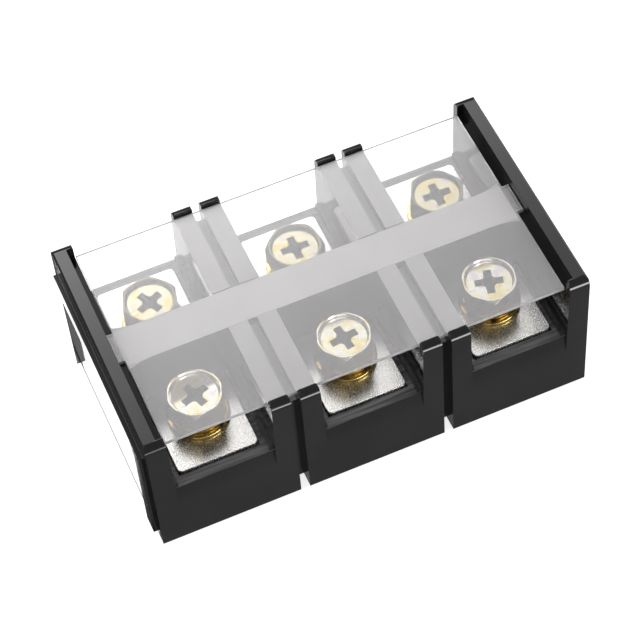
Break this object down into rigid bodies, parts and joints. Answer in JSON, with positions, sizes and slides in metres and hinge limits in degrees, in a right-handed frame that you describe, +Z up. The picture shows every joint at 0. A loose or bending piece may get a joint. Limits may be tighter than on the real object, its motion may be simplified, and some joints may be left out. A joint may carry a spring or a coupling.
{
  "type": "barrier terminal strip",
  "caption": "Black barrier terminal strip with hexagon clamping screws on plated conductor bars between barrier walls and a clear lift-off cover.",
  "frame": {"origin": "centre of the underside", "axes": "+X along the strip from pole 1 to pole 3, -Y is the front, +Z up"},
  "size_m": [0.093, 0.0522, 0.0327],
  "materials": {
    "black_plastic": "glossy",
    "clear_plastic": "clear",
    "nickel_plate": "bright plated",
    "yellow_zinc": "bright plated",
    "clear_zinc": "plated"
  },
  "bodies": {
    "base": {"base_moulding": "black_plastic", "bar_1": "nickel_plate", "bar_2": "nickel_plate", "bar_3": "nickel_plate", "nut_front_1": "clear_zinc", "nut_front_2": "clear_zinc", "nut_front_3": "clear_zinc", "nut_rear_1": "clear_zinc", "nut_rear_2": "clear_zinc", "nut_rear_3": "clear_zinc"},
    "cover": {"cover": "clear_plastic"},
    "washers_front_1": {"spring_washer_front_1": "yellow_zinc", "flat_washer_front_1": "yellow_zinc"},
    "screw_front_1": {"screw_front_1": "yellow_zinc"},
    "washers_front_2": {"spring_washer_front_2": "yellow_zinc", "flat_washer_front_2": "yellow_zinc"},
    "screw_front_2": {"screw_front_2": "yellow_zinc"},
    "washers_front_3": {"spring_washer_front_3": "yellow_zinc", "flat_washer_front_3": "yellow_zinc"},
    "screw_front_3": {"screw_front_3": "yellow_zinc"},
    "washers_rear_1": {"spring_washer_rear_1": "yellow_zinc", "flat_washer_rear_1": "yellow_zinc"},
    "screw_rear_1": {"screw_rear_1": "yellow_zinc"},
    "washers_rear_2": {"spring_washer_rear_2": "yellow_zinc", "flat_washer_rear_2": "yellow_zinc"},
    "screw_rear_2": {"screw_rear_2": "yellow_zinc"},
    "washers_rear_3": {"spring_washer_rear_3": "yellow_zinc", "flat_washer_rear_3": "yellow_zinc"},
    "screw_rear_3": {"screw_rear_3": "yellow_zinc"}
  },
  "joints": [
    {"name": "cover_lift", "type": "slide", "parent": "base", "child": "cover", "axis": [0, 0, 1], "range_m": [0, 0.012]},
    {"name": "lift_front_1", "type": "slide", "parent": "base", "child": "washers_front_1", "axis": [0, 0, 1], "range_m": [0, 0.0045]},
    {"name": "turn_front_1", "type": "hinge", "parent": "washers_front_1", "child": "screw_front_1", "pos_m": [-0.031, -0.0121, 0.018], "axis": [0, 0, 1], "range_deg": [0, 1620]},
    {"name": "lift_front_2", "type": "slide", "parent": "base", "child": "washers_front_2", "axis": [0, 0, 1], "range_m": [0, 0.0045]},
    {"name": "turn_front_2", "type": "hinge", "parent": "washers_front_2", "child": "screw_front_2", "pos_m": [0, -0.0121, 0.018], "axis": [0, 0, 1], "range_deg": [0, 1620]},
    {"name": "lift_front_3", "type": "slide", "parent": "base", "child": "washers_front_3", "axis": [0, 0, 1], "range_m": [0, 0.0045]},
    {"name": "turn_front_3", "type": "hinge", "parent": "washers_front_3", "child": "screw_front_3", "pos_m": [0.031, -0.0121, 0.018], "axis": [0, 0, 1], "range_deg": [0, 1620]},
    {"name": "lift_rear_1", "type": "slide", "parent": "base", "child": "washers_rear_1", "axis": [0, 0, 1], "range_m": [0, 0.0045]},
    {"name": "turn_rear_1", "type": "hinge", "parent": "washers_rear_1", "child": "screw_rear_1", "pos_m": [-0.031, 0.0121, 0.018], "axis": [0, 0, 1], "range_deg": [0, 1620]},
    {"name": "lift_rear_2", "type": "slide", "parent": "base", "child": "washers_rear_2", "axis": [0, 0, 1], "range_m": [0, 0.0045]},
    {"name": "turn_rear_2", "type": "hinge", "parent": "washers_rear_2", "child": "screw_rear_2", "pos_m": [0, 0.0121, 0.018], "axis": [0, 0, 1], "range_deg": [0, 1620]},
    {"name": "lift_rear_3", "type": "slide", "parent": "base", "child": "washers_rear_3", "axis": [0, 0, 1], "range_m": [0, 0.0045]},
    {"name": "turn_rear_3", "type": "hinge", "parent": "washers_rear_3", "child": "screw_rear_3", "pos_m": [0.031, 0.0121, 0.018], "axis": [0, 0, 1], "range_deg": [0, 1620]}
  ],
  "couplings": [
    {"joint": "turn_front_1", "follows": "lift_front_1", "rad_per_m": 6283.2},
    {"joint": "turn_front_2", "follows": "lift_front_2", "rad_per_m": 6283.2},
    {"joint": "turn_front_3", "follows": "lift_front_3", "rad_per_m": 6283.2},
    {"joint": "turn_rear_1", "follows": "lift_rear_1", "rad_per_m": 6283.2},
    {"joint": "turn_rear_2", "follows": "lift_rear_2", "rad_per_m": 6283.2},
    {"joint": "turn_rear_3", "follows": "lift_rear_3", "rad_per_m": 6283.2}
  ]
}
